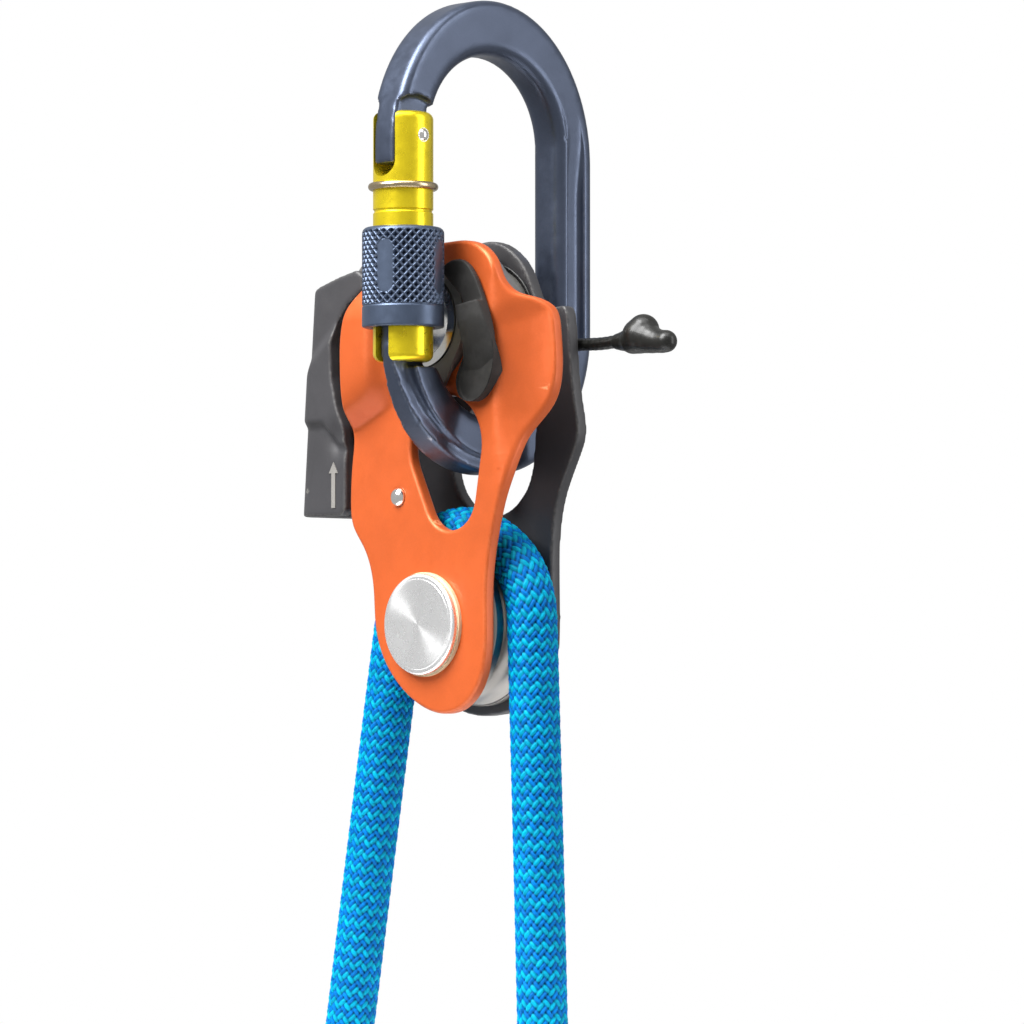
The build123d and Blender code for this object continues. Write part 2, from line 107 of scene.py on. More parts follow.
def mesh_of(points, faces):
    """A mesh from points in mm."""
    mesh = bpy.data.meshes.new("mesh")
    mesh.from_pydata((np.asarray(points, float) * MM).tolist(), [], faces)
    mesh.update()
    return mesh


def tube_faces(rows, around, closed=True):
    """Quads of a grid of rings, the last joined to the first if it is closed."""
    faces = []
    for row in range(rows if closed else rows - 1):
        below = (row + 1) % rows
        for column in range(around):
            beside = (column + 1) % around
            faces.append((row * around + column, row * around + beside,
                          below * around + beside, below * around + column))
    return faces


def outward(mesh):
    """Turns every face of a closed mesh outwards."""
    bm = bmesh.new()
    bm.from_mesh(mesh)
    bmesh.ops.recalc_face_normals(bm, faces=bm.faces)
    bm.to_mesh(mesh)
    bm.free()
    return mesh


def smooth_step(t):
    """Eases from 0 to 1 while t goes from 0 to 1."""
    t = np.clip(t, 0.0, 1.0)
    return t * t * (3 - 2 * t)


def unit(vectors):
    """Vectors, one in each row, scaled to length 1."""
    return vectors / np.linalg.norm(vectors, axis=1)[:, None]


# ---- materials ------------------------------------------------------------------------------------
NOISE_ROUGHNESS = 0.55


class Nodes:
    """A small writer of node materials, whose textures run in millimetres along a piece's own axes."""

    def __init__(self, name):
        self.material = bpy.data.materials.new(name)
        self.material.use_nodes = True
        self.tree = self.material.node_tree
        self.shader = self.tree.nodes["Principled BSDF"]

    def add(self, kind, **settings):
        node = self.tree.nodes.new(kind)
        for key, value in settings.items():
            setattr(node, key, value)
        return node

    def join(self, out, into):
        self.tree.links.new(out, into)

    def set(self, **sockets):
        for key, value in sockets.items():
            self.shader.inputs[key.replace("_", " ")].default_value = value

    def millimetres(self):
        """Object coordinates in mm."""
        coord = self.add("ShaderNodeTexCoord")
        scale = self.add("ShaderNodeVectorMath", operation="MULTIPLY")
        scale.inputs[1].default_value = (1 / MM, 1 / MM, 1 / MM)
        self.join(coord.outputs["Object"], scale.inputs[0])
        return scale.outputs[0]

    def noise(self, size, detail=3.0, where=None):
        """Noise from 0 to 1 whose lumps are about size mm across."""
        node = self.add("ShaderNodeTexNoise")
        node.inputs["Scale"].default_value = 1.0 / size
        node.inputs["Detail"].default_value = detail
        node.inputs["Roughness"].default_value = NOISE_ROUGHNESS
        self.join(where or self.millimetres(), node.inputs["Vector"])
        return node.outputs["Fac"]

    def span(self, value, low, high, to_low=0.0, to_high=1.0):
        """Maps the range low to high onto to_low to to_high, and holds the ends."""
        node = self.add("ShaderNodeMapRange")
        for key, number in zip(("From Min", "From Max", "To Min", "To Max"), (low, high, to_low, to_high)):
            node.inputs[key].default_value = number
        self.join(value, node.inputs["Value"])
        return node.outputs["Result"]

    def maths(self, operation, first, second):
        node = self.add("ShaderNodeMath", operation=operation)
        for socket, value in zip(node.inputs, (first, second)):
            if isinstance(value, (int, float)):
                socket.default_value = value
            else:
                self.join(value, socket)
        return node.outputs[0]

    def mix(self, factor, first, second):
        """Colour first where the factor is 0 and second where it is 1."""
        node = self.add("ShaderNodeMix", data_type="RGBA")
        self.join(factor, node.inputs["Factor"])
        for socket, value in zip((node.inputs[6], node.inputs[7]), (first, second)):
            if isinstance(value, tuple):
                socket.default_value = (*value, 1.0)
            else:
                self.join(value, socket)
        return node.outputs[2]

    def bump(self, height, depth, strength=1.0):
        """Bump of about depth mm."""
        node = self.add("ShaderNodeBump")
        node.inputs["Strength"].default_value = strength
        node.inputs["Distance"].default_value = depth * MM
        self.join(height, node.inputs["Height"])
        self.join(node.outputs[0], self.shader.inputs["Normal"])

    def wear_and_highlight_edges(self, colour, wear_and_highlight, low, high):
        """Lighter colour along convex edges, broken up by noise: partly edge wear, partly a painted highlight
        along the rounded edges.
        """
        edge = self.span(self.add("ShaderNodeNewGeometry").outputs["Pointiness"], low, high)
        broken = self.span(self.noise(0.7), 0.35, 0.62)
        return self.mix(self.maths("MULTIPLY", edge, broken), colour, wear_and_highlight)


def satin(name, colour, rough, metal, grain=0.004, grain_size=0.12, blotch=0.10, wear_and_highlight=None,
          edges=(0.53, 0.6)):
    """Blasted or anodised metal: a fine grain, faint blotches, uneven polish and lighter edges, partly worn
    and partly a painted highlight.
    """
    n = Nodes(name)
    dark = tuple(c * (1 - blotch) for c in colour)
    light = tuple(min(1.0, c * (1 + blotch)) for c in colour)
    blotches = n.span(n.noise(9.0, 2.0), 0.35, 0.65)
    speckle = n.span(n.noise(grain_size * 2.5, 2.0), 0.3, 0.7)
    base = n.mix(n.maths("ADD", n.maths("MULTIPLY", blotches, 0.6), n.maths("MULTIPLY", speckle, 0.4)),
                 dark, light)
    # painted highlight with wear: a lighter colour along the convex edges
    if wear_and_highlight:
        base = n.wear_and_highlight_edges(base, wear_and_highlight, *edges)
    n.join(base, n.shader.inputs["Base Color"])
    n.join(n.span(n.noise(2.0, 4.0), 0.3, 0.7, rough - 0.05, rough + 0.06), n.shader.inputs["Roughness"])
    n.set(Metallic=metal)
    n.bump(n.noise(grain_size, 2.0), grain)
    return n.material


def turned(name, colour, rough, axis, ring=0.25, depth=0.002, spin=0.75, metal=1.0):
    """Metal turned on a lathe: fine rings about the axle, which spread the light across them."""
    n = Nodes(name)
    tangent = n.add("ShaderNodeTangent", direction_type="RADIAL", axis=axis)
    n.join(tangent.outputs[0], n.shader.inputs["Tangent"])
    stain = n.span(n.noise(6.0, 5.0), 0.35, 0.75)
    n.join(n.mix(stain, colour, tuple(c * 0.93 for c in colour)), n.shader.inputs["Base Color"])
    n.join(n.span(n.noise(2.5, 4.0), 0.3, 0.7, rough - 0.02, rough + 0.03), n.shader.inputs["Roughness"])
    n.set(Metallic=metal, Anisotropic=spin)
    wave = n.add("ShaderNodeTexWave", wave_type="RINGS", rings_direction=axis)
    wave.inputs["Scale"].default_value = 0.5 / ring
    wave.inputs["Distortion"].default_value = 1.5
    wave.inputs["Detail"].default_value = 2.0
    centre = n.add("ShaderNodeVectorMath", operation="SUBTRACT")
    centre.inputs[1].default_value = (AXLE_X, 0, AXLE_Z)
    n.join(n.millimetres(), centre.inputs[0])
    n.join(centre.outputs[0], wave.inputs["Vector"])
    n.bump(wave.outputs["Fac"], depth)
    return n.material


def moulded(name, colour, rough, grain=0.02, grain_size=0.35, level=0.5, coat=0.0):
    """Moulded plastic or rubber: a fine leathery texture, scuffs and a slightly uneven gloss."""
    n = Nodes(name)
    scuffs = n.span(n.noise(5.0, 5.0), 0.45, 0.75)
    scuffed = tuple(c * 1.5 + 0.004 for c in colour)
    n.join(n.mix(scuffs, colour, scuffed), n.shader.inputs["Base Color"])
    n.join(n.span(n.noise(1.6, 4.0), 0.3, 0.7, rough - 0.08, rough + 0.08), n.shader.inputs["Roughness"])
    n.set(Specular_IOR_Level=level, Coat_Weight=coat, Coat_Roughness=0.08)
    n.bump(n.noise(grain_size, 3.0), grain)
    return n.material


def braided(name):
    """Nylon yarns: each has its own dye, with filaments running along it and painted shade in the gaps."""
    n = Nodes(name)
    dye = n.add("ShaderNodeAttribute", attribute_name="dye")
    run = n.add("ShaderNodeAttribute", attribute_name="run")
    along = n.add("ShaderNodeVectorMath", operation="MULTIPLY")
    along.inputs[1].default_value = (0.35, 5.0, 1.0)
    n.join(run.outputs["Vector"], along.inputs[0])
    filaments = n.noise(0.55, 3.0, where=along.outputs[0])
    patchy = n.span(n.noise(2.2, 3.0), 0.3, 0.7, 0.86, 1.1)
    # painted shade: the dye is darkened where the braid lies low, in the gaps between yarns, and lightened a
    # little on the crests
    gap = n.add("ShaderNodeAttribute", attribute_name="crevice")
    depth = n.span(gap.outputs["Fac"], 0.15, 0.8, 0.30, 1.08)
    shade = n.maths("MULTIPLY", n.span(filaments, 0.25, 0.75, 0.72, 1.22), n.maths("MULTIPLY", patchy, depth))
    tint = n.add("ShaderNodeVectorMath", operation="SCALE")
    n.join(dye.outputs["Color"], tint.inputs[0])
    n.join(shade, tint.inputs["Scale"])
    n.join(tint.outputs[0], n.shader.inputs["Base Color"])
    n.join(n.span(filaments, 0.3, 0.7, 0.42, 0.58), n.shader.inputs["Roughness"])
    n.set(Specular_IOR_Level=0.08)
    n.bump(filaments, 0.05, 0.8)
    return n.material


# the lighter edge colours below are partly wear and partly a painted highlight along rounded edges
SLATE = satin("anodised_slate", (0.078, 0.096, 0.143), 0.34, 0.76, wear_and_highlight=(0.30, 0.31, 0.36))
SLATE_KNURL = satin("anodised_slate_knurl", (0.078, 0.104, 0.160), 0.38, 0.70, grain=0.002,
                    wear_and_highlight=(0.62, 0.64, 0.68), edges=(0.56, 0.72))
YELLOW = satin("anodised_yellow", (0.93, 0.72, 0.020), 0.30, 0.78, grain=0.003)
ORANGE = satin("anodised_orange", (0.62, 0.112, 0.022), 0.42, 0.30, grain=0.006, grain_size=0.16, blotch=0.06,
               wear_and_highlight=(1.0, 0.36, 0.16), edges=(0.52, 0.62))
COATED = satin("coated_dark_grey", (0.046, 0.045, 0.049), 0.44, 0.06, grain=0.006, grain_size=0.2,
               wear_and_highlight=(0.20, 0.195, 0.18), edges=(0.52, 0.6))
TURNED = turned("turned_steel", (0.97, 0.97, 0.97), 0.27, "Y", depth=0.0006, spin=0.85, metal=0.86)
POLISHED = satin("polished_steel", (0.84, 0.83, 0.80), 0.16, 1.0, grain=0.001, blotch=0.12)
SPUN = turned("sheave_aluminium", (0.30, 0.285, 0.27), 0.34, "Y", ring=0.5)
BRONZE = satin("bronze_steel", (0.52, 0.42, 0.27), 0.25, 1.0, grain=0.002)
BUFF = moulded("washer_buff", (0.62, 0.52, 0.34), 0.5, grain=0.01)
CAM_STEEL = satin("cam_steel", (0.35, 0.34, 0.33), 0.35, 0.9, grain=0.01, grain_size=0.3)
HUB_GREY = satin("hub_grey", (0.22, 0.215, 0.20), 0.46, 0.30, grain=0.012, grain_size=0.3)
DARK_STEEL = satin("dark_spring_steel", (0.05, 0.05, 0.05), 0.4, 1.0)
PRINT = satin("printed_grey", (0.24, 0.23, 0.215), 0.6, 0.0)
BLACK = moulded("black_lever", (0.030, 0.029, 0.028), 0.52, level=0.12, grain=0.02, grain_size=0.3)
DIPPED = moulded("cord_black", (0.007, 0.007, 0.006), 0.40, grain=0.05, grain_size=1.6, coat=0.15,
                 level=0.35)
SHRINK = moulded("shrink_black", (0.02, 0.02, 0.022), 0.4)
ROPE = braided("rope_blue")

FINISH = {
    "connector_body": SLATE, "gate_barrel": YELLOW, "sleeve_stop_ring": BRONZE, "gate_hinge_pin": POLISHED,
    "gate_spring": POLISHED, "gate_spring_plunger": BRONZE, "lock_sleeve": SLATE_KNURL,
    "rear_plate": COATED, "front_plate": ORANGE, "axle": TURNED, "axle_washer": BUFF,
    "axle_rear_head": TURNED, "thrust_washer_front": BUFF, "thrust_washer_rear": BUFF,
    "stop_pin": POLISHED, "eyelet": POLISHED, "cam_spring": DARK_STEEL, "rope": ROPE,
    "rope_end_left": SHRINK, "rope_end_right": SHRINK, "sheave": SPUN, "sheave_bushing": BRONZE,
    "cam": CAM_STEEL, "cam_hub": HUB_GREY, "cam_lever": BLACK, "release_cord": DIPPED, "cord_knot": DIPPED,
}
for node_name, node in NODES.items():
    node.data.materials.clear()
    node.data.materials.append(FINISH[node_name])


# ---- rope -----------------------------------------------------------------------------------------
ROPE_D = 10.5
ROPE_ROUTE = [
    (-43.91, -222.06), (-40.71, -203.33), (-34.28, -166.89), (-27.2, -127.52), (-23.41, -106.87),
    (-4.45, -98.48), (14.4, -109.13), (15.28, -130.11), (16.78, -170.08), (17.97, -206.06), (18.42, -222.05),
]


def route_line(name, points, steps=40):
    """The points, in mm, that a smooth cord takes through its route points."""
    curve = bpy.data.curves.new(name, "CURVE")
    curve.dimensions = "3D"
    curve.resolution_u = steps
    spline = curve.splines.new("NURBS")
    spline.points.add(len(points) - 1)
    for point, place in zip(spline.points, points):
        point.co = (*(c * MM for c in place), 1.0)
    spline.order_u = 3
    spline.use_endpoint_u = True
    holder = link(bpy.data.objects.new(name, curve))
    line = np.array([v.co for v in shown_mesh(holder).vertices]) / MM
    bpy.data.objects.remove(holder)
    return line


def evenly(line, spacing):
    """The line's points resampled at an even spacing, and its length."""
    steps = np.linalg.norm(np.diff(line, axis=0), axis=1)
    run = np.concatenate([[0.0], np.cumsum(steps)])
    count = max(2, round(run[-1] / spacing) + 1)
    at = np.linspace(0, run[-1], count)
    return np.stack([np.interp(at, run, line[:, k]) for k in range(3)], axis=1), run[-1]


def braid_height(a, b, arch, crown):
    """Surface of a plain braid of twin yarns. a and b count the strands of the two directions."""
    i, j = np.floor(a), np.floor(b)

    def strand(across, along, phase):
        lift = np.cos(np.pi * (along - 0.5 - phase))
        lift = np.sign(lift) * np.abs(lift) ** 0.7
        side = 2 * np.mod(2 * across, 1.0) - 1
        return lift, np.sqrt(np.maximum(0.0, 1 - side**2))

    lift_a, round_a = strand(a, b, i)
    lift_b, round_b = strand(b, a, j + 1)
    top_a = arch * lift_a + crown * round_a
    top_b = arch * lift_b + crown * round_b
    return np.maximum(top_a, top_b), top_a >= top_b


def make_rope():
    """The rope over the sheave: a tube of braided sheath that follows its route in the plane y = 0."""
    strands = 12          # yarn pairs in each direction round the rope
    lead = 3.0            # length of rope for one pair's step
    fine = 6              # mesh steps across one pair
    arch = 0.34           # how far a pair rises where it crosses over another
    crown = 0.36          # how far a yarn stands up along its own middle
    proud = 0.12          # how far the crests stand outside the rope's diameter
    outer = ROPE_D / 2 + proud
    line = route_line("rope_route", [(x, 0.0, z) for x, z in ROPE_ROUTE])
    centre, length = evenly(line, lead / (2 * fine))
    rows, around = len(centre), strands * fine
    tangent = unit(np.gradient(centre, axis=0))
    side = np.array([0.0, 1.0, 0.0])
    normal = np.cross(tangent, side)

    row, column = np.meshgrid(np.arange(rows), np.arange(around), indexing="ij")
    turn = 2 * column + row % 2
    a = (turn + row) / (2 * fine)
    b = (turn - row) / (2 * fine)
    height, _ = braid_height(a, b, arch, crown)
    radius = outer - arch - crown + height
    angle = turn * math.pi / (strands * fine)
    points = (centre[row] + (radius * np.cos(angle))[..., None] * normal[row]
              + (radius * np.sin(angle))[..., None] * side)

    faces, cells = [], []
    for r in range(rows - 2):
        shift = r % 2
        for c in range(around):
            left = (r + 1) * around + (c - 1 + shift) % around
            right = (r + 1) * around + (c + shift) % around
            faces.append((r * around + c, right, (r + 2) * around + c, left))
            cells.append((2 * c + shift, r + 1))
    mesh = mesh_of(points.reshape(-1, 3), faces)

    cell = np.array(cells, float)
    mid_a = (cell[:, 0] + cell[:, 1]) / (2 * fine)
    mid_b = (cell[:, 0] - cell[:, 1]) / (2 * fine)
    _, is_a = braid_height(mid_a, mid_b, arch, crown)
    across = np.where(is_a, mid_a, mid_b)
    number = np.mod(np.floor(2 * across), 2 * strands)
    cyan, blue = np.array([0.0, 0.33, 0.52]), np.array([0.0, 0.15, 0.49])
    bright = np.mod(number, 2) == 0
    dye = np.where(bright[:, None], cyan, blue)
    darkest, lightest = 0.86, 1.16
    tone = np.random.default_rng(7).uniform(darkest, lightest, (2, 2 * strands))
    dye = dye * tone[is_a.astype(int), number.astype(int)][:, None]
    colours = mesh.attributes.new("dye", "FLOAT_COLOR", "FACE")
    colours.data.foreach_set("color", np.column_stack([dye, np.ones(len(dye))]).astype(np.float32).ravel())

    # how high the braid stands, 0 in the gaps and 1 on the crests; the rope material paints shade into the
    # gaps by it
    crevice = mesh.attributes.new("crevice", "FLOAT", "POINT")
    crevice.data.foreach_set("value", (height / (arch + crown)).astype(np.float32).ravel())
    pitch = math.pi * ROPE_D / strands
    corner = np.array([(0, -1), (1, 0), (0, 1), (-1, 0)], float)
    corners = cell[:, None, :] + corner[None]
    corner_a = (corners[..., 0] + corners[..., 1]) / (2 * fine)
    corner_b = (corners[..., 0] - corners[..., 1]) / (2 * fine)
    along = np.where(is_a[:, None], corner_b, corner_a) * pitch
    over = np.where(is_a[:, None], corner_a, corner_b) * pitch
    run = mesh.attributes.new("run", "FLOAT_VECTOR", "CORNER")
    flat = np.stack([along, over, number[:, None] + np.zeros_like(along)], axis=-1)
    run.data.foreach_set("vector", flat.astype(np.float32).ravel())

    rope = piece("braided_rope", outward(mesh), ROPE, "device", ["rope"])


make_rope()


# ---- front plate ----------------------------------------------------------------------------------
WELD = 0.01        # points nearer than this become one
CUT = 0.02         # points this near a cutting plane count as on it


def flat_loops(node, toward, least=0.35):
    """Closed edge loops (x, z), in mm, of the part of a CAD node that faces one way, longest first."""
    mesh = NODES[node].data
    ids, places, keys = {}, [], []
    for vertex in mesh.vertices:
        key = tuple(round(c / MM, 3) for c in vertex.co)
        if key not in ids:
            ids[key] = len(places)
            places.append(key)
        keys.append(ids[key])
    uses = {}
    for face in mesh.polygons:
        if face.normal.dot(toward) < least:
            continue
        corners = [keys[v] for v in face.vertices]
        for first, second in zip(corners, corners[1:] + corners[:1]):
            uses.setdefault(frozenset((first, second)), []).append((first, second))
    after = {pair[0][0]: pair[0][1] for pair in uses.values() if len(pair) == 1}
    loops = []
    while after:
        start, here = after.popitem()
        loop = [start]
        while here != start:
            loop.append(here)
            here = after.pop(here)
        loops.append(np.array([(places[k][0], places[k][2]) for k in loop]))
    return sorted(loops, key=lambda loop: -np.ptp(loop[:, 1]))


def even_loop(loop, spacing):
    """A closed loop resampled at an even spacing."""
    closed = np.vstack([loop, loop[:1]])
    run = np.concatenate([[0.0], np.cumsum(np.linalg.norm(np.diff(closed, axis=0), axis=1))])
    at = np.linspace(0, run[-1], round(run[-1] / spacing) + 1)[:-1]
    return np.stack([np.interp(at, run, closed[:, k]) for k in range(2)], axis=1)


def sheet(loops, thick, rounding, grid):
    """Flat sheet in the XZ plane with rounded edges, centred on y = 0, cut into a grid for bending."""
    curve = bpy.data.curves.new("sheet", "CURVE")
    curve.dimensions = "2D"
    curve.fill_mode = "BOTH"
    curve.extrude = (thick / 2 - rounding) * MM
    curve.bevel_depth = rounding * MM
    curve.bevel_resolution = 3
    curve.offset = -rounding * MM
    for loop in loops:
        spline = curve.splines.new("POLY")
        spline.points.add(len(loop) - 1)
        for point, (x, z) in zip(spline.points, loop):
            point.co = (x * MM, z * MM, 0, 1)
        spline.use_cyclic_u = True
    holder = link(bpy.data.objects.new("sheet", curve))
    mesh = shown_mesh(holder)
    bpy.data.objects.remove(holder)
    mesh.transform(Matrix.Rotation(math.pi / 2, 4, "X"))
    bm = bmesh.new()
    bm.from_mesh(mesh)
    bmesh.ops.remove_doubles(bm, verts=bm.verts, dist=WELD * MM)
    low = np.min([v.co for v in bm.verts], axis=0)
    high = np.max([v.co for v in bm.verts], axis=0)
    for axis in (0, 2):
        normal = [0.0, 0.0, 0.0]
        normal[axis] = 1.0
        for at in np.arange(low[axis] + grid * MM, high[axis], grid * MM):
            place = [0.0, 0.0, 0.0]
            place[axis] = at
            bmesh.ops.bisect_plane(bm, geom=bm.verts[:] + bm.edges[:] + bm.faces[:], dist=CUT * MM,
                                   plane_co=place, plane_no=normal)
    bmesh.ops.recalc_face_normals(bm, faces=bm.faces)
    bm.to_mesh(mesh)
    bm.free()
    return mesh


def points_of(mesh):
    """A mesh's points, in mm."""
    flat = np.empty(len(mesh.vertices) * 3)
    mesh.vertices.foreach_get("co", flat)
    return flat.reshape(-1, 3) / MM


def move_points(mesh, points):
    """Puts a mesh's points at new places, in mm."""
    mesh.vertices.foreach_set("co", (points * MM).ravel())
    mesh.update()
    return mesh


def keep_flats(obj):
    """Shades flat faces flat beside their rounded edges."""
    modifier = obj.modifiers.new("flat_faces", "WEIGHTED_NORMAL")
    modifier.weight = 60
    modifier.keep_sharp = True


SHEET = 3.0
EDGE_ROUNDING = 0.85
OUTLINE_STEP = 0.7
BEND_GRID = 1.5
FRONT_FACE = -11.0
CREASE_X, CREASE_Z, CREASE_SLOPE = -28.0, -79.0, 0.43
RAISE, RAISE_RUN = 1.0, 6.0
EAR_BEND, EAR_START, EAR_RUN = 7.5, 15.0, 12.0
PILLOW, PILLOW_RISE, PILLOW_FULLNESS = 4.7, 14.0, 2.6
PILLOW_TOP, PILLOW_TOP_RUN = -40.0, 16.0
PILLOW_RIGHT, PILLOW_RIGHT_RUN = -12.5, 10.0
DRAW_IN, DRAW_START, DRAW_RUN = 1.15, -10.0, 22.0
EAR_TRIM, TRIM_START, TRIM_RUN = 2.6, 12.0, 10.0
TRIM_LOW, TRIM_LOW_RUN = -92.0, 16.0
TRIM_TOP, TRIM_TOP_RUN = -43.0, 6.0


def above_crease(x, z):
    """Height above the slanted crease where the front plate's joggle starts."""
    return z - (CREASE_Z + CREASE_SLOPE * (x - CREASE_X))


def front_face(x, z):
    """Height y of the front plate's outer face: a joggle across the middle and an ear bent back."""
    joggle = RAISE * smooth_step(above_crease(x, z) / RAISE_RUN)
    return FRONT_FACE - joggle + EAR_BEND * smooth_step((x - EAR_START) / EAR_RUN)


def pillow(x, z):
    """Swell of the pressed field left of the connector, proud of the joggle."""
    climb = np.clip(above_crease(x, z) / PILLOW_RISE, 0.0, 1.0)
    up_slope = 1 - (1 - climb) ** PILLOW_FULLNESS
    return (PILLOW * up_slope * smooth_step((PILLOW_TOP - z) / PILLOW_TOP_RUN)
            * smooth_step((PILLOW_RIGHT - x) / PILLOW_RIGHT_RUN))


def make_front_plate():
    """Orange side plate: a sheet cut to the CAD node's outline, then formed."""
    loops = [even_loop(loop, OUTLINE_STEP) for loop in flat_loops("front_plate", Vector((0, -1, 0)))]
    mesh = sheet(loops, SHEET, EDGE_ROUNDING, BEND_GRID)
    points = points_of(mesh)
    points[:, 1] += front_face(points[:, 0], points[:, 2]) + SHEET / 2
    swell = pillow(points[:, 0], points[:, 2])
    points[:, 1] -= swell
    # the pressed field draws the blank's left edge in
    points[:, 0] += DRAW_IN * swell * np.clip((DRAW_START - points[:, 0]) / DRAW_RUN, 0.0, 1.0)
    # the ear is a little narrower than the blank, with a fuller upper corner
    beside_neck = (smooth_step((points[:, 2] - TRIM_LOW) / TRIM_LOW_RUN)
                   * smooth_step((TRIM_TOP - points[:, 2]) / TRIM_TOP_RUN))
    points[:, 0] -= EAR_TRIM * smooth_step((points[:, 0] - TRIM_START) / TRIM_RUN) * beside_neck
    plate = piece("formed_front_plate", move_points(mesh, points), ORANGE, "device",
                  ["front_plate"])
    keep_flats(plate)


make_front_plate()


# ---- connector and rear plate ---------------------------------------------------------------------
SOFTENING = 0.5


def skin(bm, voxel, rounds):
    """One closed skin over overlapping shapes, with its edges worn round by smoothing."""
    mesh = bpy.data.meshes.new("parts")
    bm.to_mesh(mesh)
    bm.free()
    holder = link(bpy.data.objects.new("skin", mesh))
    cover = holder.modifiers.new("skin", "REMESH")
    cover.mode = "VOXEL"
    cover.voxel_size = voxel * MM
    soften = holder.modifiers.new("soften", "SMOOTH")
    soften.factor = SOFTENING
    soften.iterations = rounds
    made = shown_mesh(holder)
    bpy.data.objects.remove(holder)
    return made


def remeshed(node, voxel, rounds):
    """A skin over a copy of a CAD node."""
    bm = bmesh.new()
    bm.from_mesh(NODES[node].data)
    return skin(bm, voxel, rounds)


def blob(balls, voxel, rounds):
    """A skin over balls given as (x, y, z, radius)."""
    bm = bmesh.new()
    for x, y, z, radius in balls:
        bmesh.ops.create_uvsphere(bm, u_segments=32, v_segments=18, radius=radius * MM,
                                  matrix=Matrix.Translation(Vector((x, y, z)) * MM))
    return skin(bm, voxel, rounds)


def beyond_bow(y, z, half, centre_z, rise):
    """About how far a point lies outside a bow outline with straight sides and an elliptical top."""
    over_top = half * (np.hypot(y / half, (z - centre_z) / rise) - 1)
    return np.where(z > centre_z, over_top, np.abs(y) - half)


def make_connector():
    """Forged bar of the connector, whose side recess runs out smoothly towards the top of the bow."""
    outer_rim, outer_slope = 1.9, 0.9
    inner_rim, inner_slope = 2.3, 0.5
    fade_start, fade_run = -30.0, 20.0
    gate_side = -9.0
    web_half, bar_half = 2.0, 4.6
    mesh = remeshed("connector_body", 0.5, 3)
    points = points_of(mesh)
    x, y, z = points.T.copy()
    from_outside = -beyond_bow(y, z, half=28.9, centre_z=-21.3, rise=33.0)
    from_inside = beyond_bow(y, z, half=18.5, centre_z=-18.3, rise=18.3)
    in_recess = (smooth_step((from_outside - outer_rim) / outer_slope)
                 * smooth_step((from_inside - inner_rim) / inner_slope))
    fade = smooth_step((z - fade_start) / fade_run)
    run_out = in_recess * fade * (y > gate_side) * (np.abs(x) > web_half)
    points[:, 0] += run_out * np.sign(x) * (bar_half - np.abs(x))
    piece("forged_connector_body", move_points(mesh, points), SLATE, "connector",
          ["connector_body"])


def make_rear_plate():
    """Dark side plate, whose lip is pressed out between its folds and pinched beside the lower one."""
    press, pinch = 1.15, 1.3
    lip_back, lip_right = -6.5, -26.0
    fold_x, fold_z, fold_slope = -33.0, -53.5, 0.86
    low_fold_z, low_fold_x, low_fold_drop = -78.2, -38.0, 4.8
    pinch_x, pinch_z, pinch_wide, pinch_tall = -33.5, -80.5, 2.6, 3.2
    mesh = remeshed("rear_plate", 0.45, 6)
    points = points_of(mesh)
    x, y, z = points.T.copy()
    lip = smooth_step((lip_back - y) / 1.2) * smooth_step((lip_right - x) / 3.0)
    below_upper_fold = smooth_step((fold_z + fold_slope * (x - fold_x) - z) / 4.5)
    drop = low_fold_drop * smooth_step((x - low_fold_x) / 5.0)
    above_lower_fold = smooth_step((z - low_fold_z + drop) / 2.2)
    points[:, 1] -= press * lip * below_upper_fold * above_lower_fold
    near_pinch = np.exp(-(((x - pinch_x) / pinch_wide) ** 2) - ((z - pinch_z) / pinch_tall) ** 2)
    points[:, 1] += pinch * lip * near_pinch
    piece("formed_rear_plate", move_points(mesh, points), COATED, "device",
          ["rear_plate"])


make_connector()
make_rear_plate()


